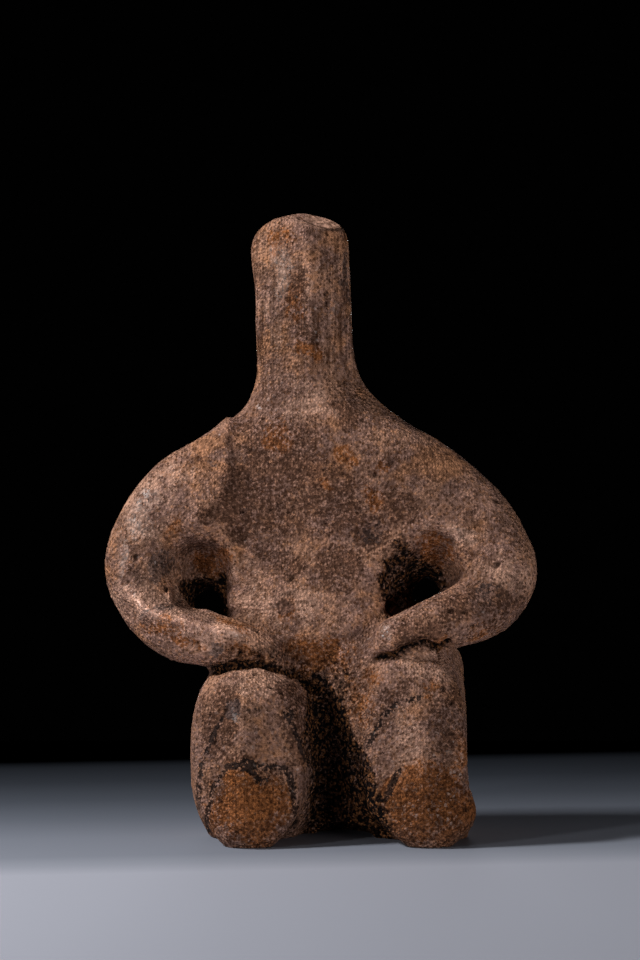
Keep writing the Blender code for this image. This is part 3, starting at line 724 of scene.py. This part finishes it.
# Forearms: the pinched crest of the right one, creases where they meet the lap
relief += 1.7 * ridge(1.6, *CREST) * ramp(-36.0, -31.0, across) * ramp(-12.5, -17.5, across)
relief -= 0.6 * line(1.5, *[(a + 1.2, b + 2.8) for a, b in CREST])
relief -= 0.4 * line(1.7, *[(a - 1.2, b - 2.9) for a, b in CREST])
relief += 0.5 * line(0.9, *LIP)
relief += 0.9 * line(1.7, (14.5, 53.0), (16.7, 54.5), (20.5, 55.3), (24.1, 54.0), (25.9, 51.6))
relief -= 1.7 * line(0.7, *KNEE_CREASE)
relief -= 1.5 * line(0.7, *HAND_CREASE)
relief -= 0.5 * line(0.45, (21.9, 32.6), (21.5, 30.8))
relief += 0.45 * line(2.2, (-5.4, 34.4), (0.0, 35.0), (5.4, 36.6), (10.0, 39.9))
relief -= 0.35 * line(0.5, (24.4, 42.8), (27.3, 44.4))
relief += 0.2 * dish(-16.6, 73.6, 1.4, 1.0)
# Hollows worn round the mouths of the pits
relief -= 2.0 * dish(-21.6, 50.0, 4.2, 2.6) + 1.2 * dish(-26.4, 46.0, 3.0, 4.6)
relief -= 0.9 * dish(13.2, 45.0, 2.4, 5.6, -15.0) + 1.0 * dish(21.6, 53.0, 4.0, 2.0, -20.0)
relief += 0.4 * lumps(points, 1.5, 31) * most((pit_right, pit_left, 0.8 * valley, groin))
# The facet pressed into the top of the pillar
CROWN, CROWN_FACING = (0.4, 3.7, 108.5), (0.25, -0.33, 0.91)
CROWN_EDGE = ((-3.8, 111.2), (-1.6, 110.5), (0.4, 109.4), (2.4, 108.6), (4.0, 109.0))
crown = ramp(-0.4, 0.2, (points - CROWN) @ np.array(CROWN_FACING)) * (z > 100.0)
# Grit, pits and the unevenness of the hand
gritty = spot(-1.0, 30.0, 8.5, 7.0) + spot(-12.0, 5.0, 8.0, 6.0) + spot(19.0, 4.5, 9.5, 6.0)
coarse = 0.35 + 0.5 * lumps(points, 9.0, 21) + gritty + spot(6.3, 79.0, 3.0, 2.5) + burnt
coarse = np.clip(coarse, 0.0, 1.0)
relief += 0.22 * lumps(points, 9.0, 1) + 0.10 * lumps(points, 4.0, 2) + 0.05 * lumps(points, 1.8, 3)
gap, number = grit(points + 0.4 * lumps(points, 0.9, 8)[:, None], 1.9, 7)
coarse = coarse - 1.2 * crown
common = 0.14 + 0.3 * coarse + 0.3 * film
# Pores, dark at the bottom: partly the clay's own dark and partly painted shade
pore = ramp(0.44, 0.08, gap + 0.28 * number / common) * (number < common)
relief -= 0.5 * pore
gap, number = grit(points, 1.3, 17)
relief += 0.14 * ramp(0.5, 0.1, gap) * (number < 0.2 + 0.5 * coarse) * (0.5 + coarse)
# Wear has flattened what the figure stands on
relief *= ramp(0.0, 1.2, z) * 0.8 + 0.2

points = points + (relief * (1.0 - 0.8 * crown))[:, None] * normals
points = shaved(points, CROWN, CROWN_FACING, 0.1, z > 100.0)
# The crown facet is smooth, paler clay, and painted lighter still as it faces the light
pale = np.maximum(pale, 1.6 * crown)
shade = shade - 0.9 * crown
for mark in (film, rust, smudge, pore):
    mark *= 1.0 - crown
pore = np.maximum(pore, 1.3 * line(0.3, *CROWN_EDGE))
points[:, 2] = np.maximum(points[:, 2], 0.0)

# How far each point lies below the smoothed skin, which paints shade into the hollows
smooth = points
for _ in range(CAVITY_PASSES):
    smooth = neighbour_mean(smooth, ends)
cavity = np.einsum("ij,ij->i", smooth - points, normals)

# ------------------------------------------------------------------------------------------------
# The idol's finish, grain by grain: brown and tan sand in a red-brown body, dark gaps and pits
# between the grains with painted shade in them, rust, dark film, painted shade in the hollows,
# creases and undersides, painted highlights, thin paint, and a worn burnish that still shines here
# and there.
# ------------------------------------------------------------------------------------------------
# Colours as linear red, green and blue
BROWN_CLAY, TAN_CLAY = (0.282, 0.156, 0.119), (0.290, 0.149, 0.094)
RED_SAND, OCHRE, PALE_CLAY_AND_HIGHLIGHT = (0.33, 0.15, 0.075), (0.315, 0.140, 0.066), (0.41, 0.235, 0.168)
RUST, DARK_FILM_AND_SHADE, BLUE_GREY = (0.24, 0.080, 0.023), (0.105, 0.048, 0.029), (0.075, 0.052, 0.048)
PORE_BOTTOM, PAINT = (0.04, 0.017, 0.010), (0.022, 0.014, 0.012)
# Near black and sandy brown for the painted shade in the hollows
HOLLOW_SHADE_DARK, HOLLOW_SHADE_SAND = (0.004, 0.002, 0.002), (0.13, 0.052, 0.020)
GAP_TINT, NO_TINT = (0.27, 0.205, 0.148), (1.0, 1.0, 1.0)
# Scales as grains or clouds to a metre
SAND, PITS, STREAKS = 2000.0, 950.0, 900.0
GRAIN_DEPTH = 0.0002

points = points + place
mesh = clay_mesh("idol_clay", points, quads)
idol = clay_lump("idol_clay", mesh)
mesh.shade_smooth()
for name, values in (
    ("burnt", burnt), ("film", film), ("rust", rust), ("paint", paint), ("smudge", smudge),
    ("gloss", gloss), ("shade", shade), ("pale", pale), ("pore", pore), ("streaked", streaked),
    ("coarse", coarse), ("cavity", np.clip(0.5 + 2.0 * cavity, 0.0, 1.0)),
):
    mesh.attributes.new(name, "FLOAT", "POINT").data.foreach_set("value", values.astype(np.float32))


class Wire:
    """One output of a material's node. Arithmetic on wires and numbers adds Math nodes."""

    def __init__(self, tree, socket=None):
        self.tree, self.socket = tree, socket

    def node(self, kind, settings, sockets, output=0):
        """Adds a node: its settings come first, then a value or a wire for each socket."""
        made = self.tree.nodes.new("ShaderNode" + kind)
        for name, value in settings.items():
            if name != "stops":
                setattr(made, name, value)
                continue
            ramp_stops = made.color_ramp.elements
            ramp_stops[1].position, ramp_stops[1].color = value[-1][0], (*value[-1][1], 1.0)
            ramp_stops[0].position, ramp_stops[0].color = value[0][0], (*value[0][1], 1.0)
            for position, stop_colour in value[1:-1]:
                ramp_stops.new(position).color = (*stop_colour, 1.0)
        for key, value in sockets.items():
            if isinstance(value, Wire):
                self.tree.links.new(value.socket, made.inputs[key])
            elif made.inputs[key].type == "RGBA":
                made.inputs[key].default_value = (*value, 1.0)
            else:
                made.inputs[key].default_value = value
        return Wire(self.tree, made.outputs[output])

    def feeds(self, shader, name):
        """Links this to a socket of the shader."""
        self.tree.links.new(self.socket, shader.inputs[name])

    def maths(self, operation, first, second):
        """A Math node."""
        return self.node("Math", {"operation": operation}, {0: first, 1: second})

    def __add__(self, other):
        return self.maths("ADD", self, other)

    def __sub__(self, other):
        return self.maths("SUBTRACT", self, other)

    def __rsub__(self, other):
        return self.maths("SUBTRACT", other, self)

    def __mul__(self, other):
        return self.maths("MULTIPLY", self, other)

    __radd__, __rmul__ = __add__, __mul__

    def step(self, low, high):
        """0 at low, 1 at high, smooth between."""
        settings = {"interpolation_type": "SMOOTHSTEP"}
        return self.node("MapRange", settings, {"Value": self, "From Min": low, "From Max": high})

    def mixed(self, under, over):
        """The under colour where this is 0, and the over colour where it is 1."""
        settings = {"data_type": "RGBA"}
        return self.node("Mix", settings, {0: self, 6: under, 7: over}, output=2)

    def tinted(self, colour):
        """A colour scaled by this."""
        return self.node("VectorMath", {"operation": "SCALE"}, {0: colour, "Scale": self})


fired_clay = bpy.data.materials.new("fired_clay")
fired_clay.use_nodes = True
clay_shader = fired_clay.node_tree.nodes["Principled BSDF"]
clay_wire = Wire(fired_clay.node_tree)
here = clay_wire.node("TexCoord", {}, {}, "Object")


def noise(scale, detail, roughness, at=here):
    """Cloudy noise about 0.5."""
    sockets = {"Vector": at, "Scale": scale, "Detail": detail, "Roughness": roughness}
    return clay_wire.node("TexNoise", {}, sockets)


def grains(scale, output):
    """Grains strewn one to a cell: the distance to the nearest, or its random colour."""
    return clay_wire.node("TexVoronoi", {"feature": "F1"}, {"Vector": here, "Scale": scale}, output)


def painted(name):
    """A mark on the skin, from its attribute."""
    return clay_wire.node("Attribute", {"attribute_name": name}, {}, "Fac")


uneven = noise(110.0, 6.0, 0.78)
blotchy = noise(260.0, 5.0, 0.7)
fine = noise(1500.0, 2.5, 0.7)
sand = grains(SAND, "Distance")
sand_numbers = grains(SAND, "Color")
sand_number = clay_wire.node("SeparateColor", {}, {0: sand_numbers})
sand_hue = clay_wire.node("SeparateColor", {}, {0: sand_numbers}, 1)
pits = grains(PITS, "Distance")
drawn_out = clay_wire.node("Mapping", {}, {"Vector": here, "Scale": (1.0, 1.0, 0.12)})
streaks = noise(STREAKS, 3.0, 0.65, drawn_out)
eaten = 2.4 * (uneven - 0.5) + 2.0 * (blotchy - 0.5) + 3.0 * (fine - 0.5)


def worn(mask, reach=1.0, low=0.5, high=1.1):
    """A mask whose edge is eaten by the unevenness of the surface."""
    return (mask * (1.0 + reach * 2.0 * eaten)).step(low, high)


# How light the clay is: uneven all over, from grain to grain, dark between the grains and in the
# pits, partly the clay's own dark and partly painted shade, painted darker in the hollows and
# lighter on the rises, and streaked where it was scraped
tips = ((1.0 - sand.step(0.1, 0.6)) * 0.5 + 1.6 * (fine - 0.5)).step(0.1, 0.7)
dark_grains = (sand_number + 1.6 * (blotchy - 0.5) - 0.12 * painted("coarse")).step(0.22, 0.38)
speckled = (1.0 - sand.step(0.3, 0.65)) * (1.0 - dark_grains)
gaps = sand.step(0.45, 0.8)
tone = 1.12 + 2.6 * (uneven - 0.5) + 1.8 * (blotchy - 0.5) + 1.7 * (0.5 - fine)
tone = tone * (0.72 + 0.6 * sand_number) * (1.0 - 0.75 * speckled)
tone = tone * (1.0 - (0.3 + 0.4 * painted("coarse")) * gaps) * (1.0 + 0.12 * painted("coarse"))
tone = tone * (1.0 - 0.5 * (1.0 - pits.step(0.1, 0.34)) * blotchy.step(0.45, 0.58))
# Painted shade: darker in the hollows and lighter on the rises
tone = tone * (1.3 - 0.5 * painted("cavity").step(0.3, 0.75))
tone = tone * (1.0 + painted("streaked") * (5.0 * (streaks - 0.5) - 0.05))
# The darker half of it is a browner tint, and the lighter half a brighter clay
brown = tone.maths("MINIMUM", tone, 1.0)
tone = tone.maths("MINIMUM", tone.maths("MAXIMUM", tone, 1.0), 2.0)
ochre = noise(130.0, 3.0, 0.65).step(0.5, 0.66) * (1.0 - 0.7 * painted("cavity").step(0.5, 0.8))
clay = uneven.step(0.4, 0.6).mixed(BROWN_CLAY, TAN_CLAY)
# The marks' colours over the clay: the dark film also carries painted shade, the pale clay painted
# highlights, and the pores painted shade
for share, over in (
    (0.6 * sand_hue.step(0.75, 0.95), RED_SAND),
    (0.75 * ochre, OCHRE),
    (0.7 * worn(painted("pale"), 1.0, 0.4, 1.0), PALE_CLAY_AND_HIGHLIGHT),
    (0.9 * worn(painted("rust"), 0.8, 0.35, 1.0), RUST),
    ((0.9 - 0.5 * tips) * worn(painted("film"), 1.0, 0.15, 0.8), DARK_FILM_AND_SHADE),
    (0.7 * worn(painted("smudge"), 0.8, 0.3, 0.9), BLUE_GREY),
    (0.75 * worn(painted("pore"), 0.6, 0.25, 0.8), PORE_BOTTOM),
    (0.9 * worn(painted("paint"), 1.1, 0.3, 0.7), PAINT),
):
    clay = share.mixed(clay, over)
# Painted light and shade lighten or darken the clay
clay = (1.0 - painted("shade") * 0.4).tinted(clay)
# Painted shade: the hollows, creases and holes go near black, with a few sandy grains
hollow_shade_grains = (sand_number + 1.0 * (blotchy - 0.5)).step(0.45, 1.0).mixed(HOLLOW_SHADE_DARK, HOLLOW_SHADE_SAND)
clay = worn(painted("burnt"), 0.5, 0.2, 0.8).mixed(clay, hollow_shade_grains)
darkened = brown.mixed(GAP_TINT, NO_TINT)
clay = clay_wire.node("VectorMath", {"operation": "MULTIPLY"}, {0: clay, 1: darkened})
tone.tinted(clay).feeds(clay_shader, "Base Color")

# Dull sand, a worn burnish in places, and a few bright grains
clay_shader.inputs["Specular IOR Level"].default_value = 0.08
clay_shader.inputs["Coat Roughness"].default_value = 0.36
shine = worn(painted("gloss"), 0.8, 0.3, 0.9)
bright_grains = 0.35 * sand_number.step(0.94, 0.98) * (1.0 - painted("burnt"))
dullness = 0.86 - 0.22 * painted("streaked") * (1.0 - fine.step(0.45, 0.65)) - 0.5 * shine
dullness = dullness - 0.15 * sand_number.step(0.94, 0.97)
dullness.feeds(clay_shader, "Roughness")
coat = shine.maths("MAXIMUM", 0.8 * shine * (1.0 - 0.85 * gaps), bright_grains)
coat.feeds(clay_shader, "Coat Weight")

# The grains' own height
grain_height = 1.2 * (1.0 - sand.step(0.0, 0.75)) - 1.4 * fine + 3.0 * blotchy - 1.3 * speckled
grain_height = grain_height - 1.2 * (1.0 - pits.step(0.05, 0.35)) * blotchy.step(0.42, 0.58)
grain_height = grain_height * (1.0 + 0.8 * painted("coarse") - 0.6 * shine)
bump = {"Height": grain_height, "Strength": 1.0, "Distance": GRAIN_DEPTH}
clay_wire.node("Bump", {}, bump).feeds(clay_shader, "Normal")
mesh.materials.append(fired_clay)
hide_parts("idol")
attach(idol, "root")

# ------------------------------------------------------------------------------------------------
# The table: a plain matt board, pale and faintly blue, whose back part is painted darker until it
# is lost in
# the dark behind the figure: painted shade in place of the light falling off. The fall runs
# slightly askew, and the board is painted darker to its sides too.
# ------------------------------------------------------------------------------------------------
TABLE_HALF_WIDTH, TABLE_NEAR, TABLE_FAR = 0.6, -0.9, 0.125
TABLE_COLOUR = (0.53, 0.545, 0.63)
FALL_NEAR, FALL_FAR, ASKEW = -0.035, 0.101, 0.13
DARK_FROM, DARK_AT = 0.15, 0.36
# How far back in the fall, and the painted share of the light that is left there
PAINTED_LIGHT_FALL = (
    (0.0, 1.0), (0.066, 0.79), (0.136, 0.617), (0.282, 0.53), (0.438, 0.345),
    (0.606, 0.19), (0.784, 0.09), (0.93, 0.045), (1.0, 0.0),
)

floor_mesh = bpy.data.meshes.new("table")
corners = [
    (-TABLE_HALF_WIDTH, TABLE_NEAR, 0), (TABLE_HALF_WIDTH, TABLE_NEAR, 0),
    (TABLE_HALF_WIDTH, TABLE_FAR, 0), (-TABLE_HALF_WIDTH, TABLE_FAR, 0),
]
floor_mesh.from_pydata(corners, [], [(0, 1, 2, 3)])
floor = clay_lump("table", floor_mesh)
matt_white = bpy.data.materials.new("pale")
matt_white.use_nodes = True
table_shader = matt_white.node_tree.nodes["Principled BSDF"]
table_shader.inputs["Roughness"].default_value = 0.9
table_shader.inputs["Specular IOR Level"].default_value = 0.0
table_wire = Wire(matt_white.node_tree)
on_table = table_wire.node("TexCoord", {}, {}, "Object")
sideways = table_wire.node("SeparateXYZ", {}, {0: on_table}, "X")
away_back = table_wire.node("SeparateXYZ", {}, {0: on_table}, "Y") - ASKEW * sideways
span = {"Value": away_back, "From Min": FALL_NEAR, "From Max": FALL_FAR}
depth_share = table_wire.node("MapRange", {}, span)
# Painted shade, bluer as it darkens
stops = [(at, (0.82 * k + 0.18 * k**2, 0.92 * k + 0.08 * k**2, k)) for at, k in PAINTED_LIGHT_FALL]
painted_light_fall = table_wire.node("ValToRGB", {"stops": stops}, {0: depth_share})
reach_out = table_wire.node("VectorMath", {"operation": "LENGTH"}, {0: on_table}, "Value")
# Painted shade towards the board's sides, far from the figure
painted_light_fall = (1.0 - reach_out.step(DARK_FROM, DARK_AT)).tinted(painted_light_fall)
table_colour = table_wire.node("VectorMath", {"operation": "MULTIPLY"}, {0: painted_light_fall, 1: TABLE_COLOUR})
table_colour.feeds(table_shader, "Base Color")
floor_mesh.materials.append(matt_white)

# ------------------------------------------------------------------------------------------------
# Lamps, room and camera: a small key lamp high at the figure's right, long soft ones low in front
# and behind, a spark of a lamp for the shine, a black room, and a camera a little above the middle.
# ------------------------------------------------------------------------------------------------
LAMP_AIM = (0.0, 0.0, 0.055)
# Name, azimuth and elevation in degrees, distance, width and height, power
LAMPS = (
    ("key", -81, 41, 0.42, (0.05, 0.05), 1.42),
    ("fill", 45, 0, 0.9, (0.4, 0.09), 2.4),
    ("fill_right", -38, 0, 0.9, (0.4, 0.09), 1.2),
    ("glint", -50, 14, 0.5, (0.04, 0.04), 0.38),
    ("back", 180, 3, 0.7, (0.2, 0.09), 1.6),
)
ROOM_COLOUR = (0.0003, 0.0003, 0.0003, 1)
LENS, SENSOR_WIDTH = 145.0, 36.0


def set_up(name, data, aim, azimuth, rise, distance):
    """A lamp or camera that looks at aim from a distance. Azimuth 0 is in front of the figure and
    a quarter turn is at its left; both angles are in radians."""
    thing = bpy.data.objects.new(name, data)
    bpy.context.scene.collection.objects.link(thing)
    away = Vector((np.sin(azimuth) * np.cos(rise), -np.cos(azimuth) * np.cos(rise), np.sin(rise)))
    thing.location = Vector(aim) + away * distance
    thing.rotation_mode = "QUATERNION"
    thing.rotation_quaternion = away.to_track_quat("Z", "Y")
    return thing


for name, azimuth, rise, distance, size, power in LAMPS:
    light = bpy.data.lights.new(name, "AREA")
    light.shape = "RECTANGLE"
    light.size, light.size_y = size
    light.energy = power
    set_up(name, light, LAMP_AIM, np.radians(azimuth), np.radians(rise), distance)

world = bpy.data.worlds.new("studio")
bpy.context.scene.world = world
world.use_nodes = True
world.node_tree.nodes["Background"].inputs["Color"].default_value = ROOM_COLOUR
bpy.context.scene.view_settings.view_transform = "Standard"

lens = bpy.data.cameras.new("camera")
lens.lens, lens.sensor_width = LENS, SENSOR_WIDTH
camera = set_up("camera", lens, (EYE_TARGET + place) * MM, 0.0, EYE_RISE, EYE_DISTANCE * MM)
bpy.context.scene.camera = camera
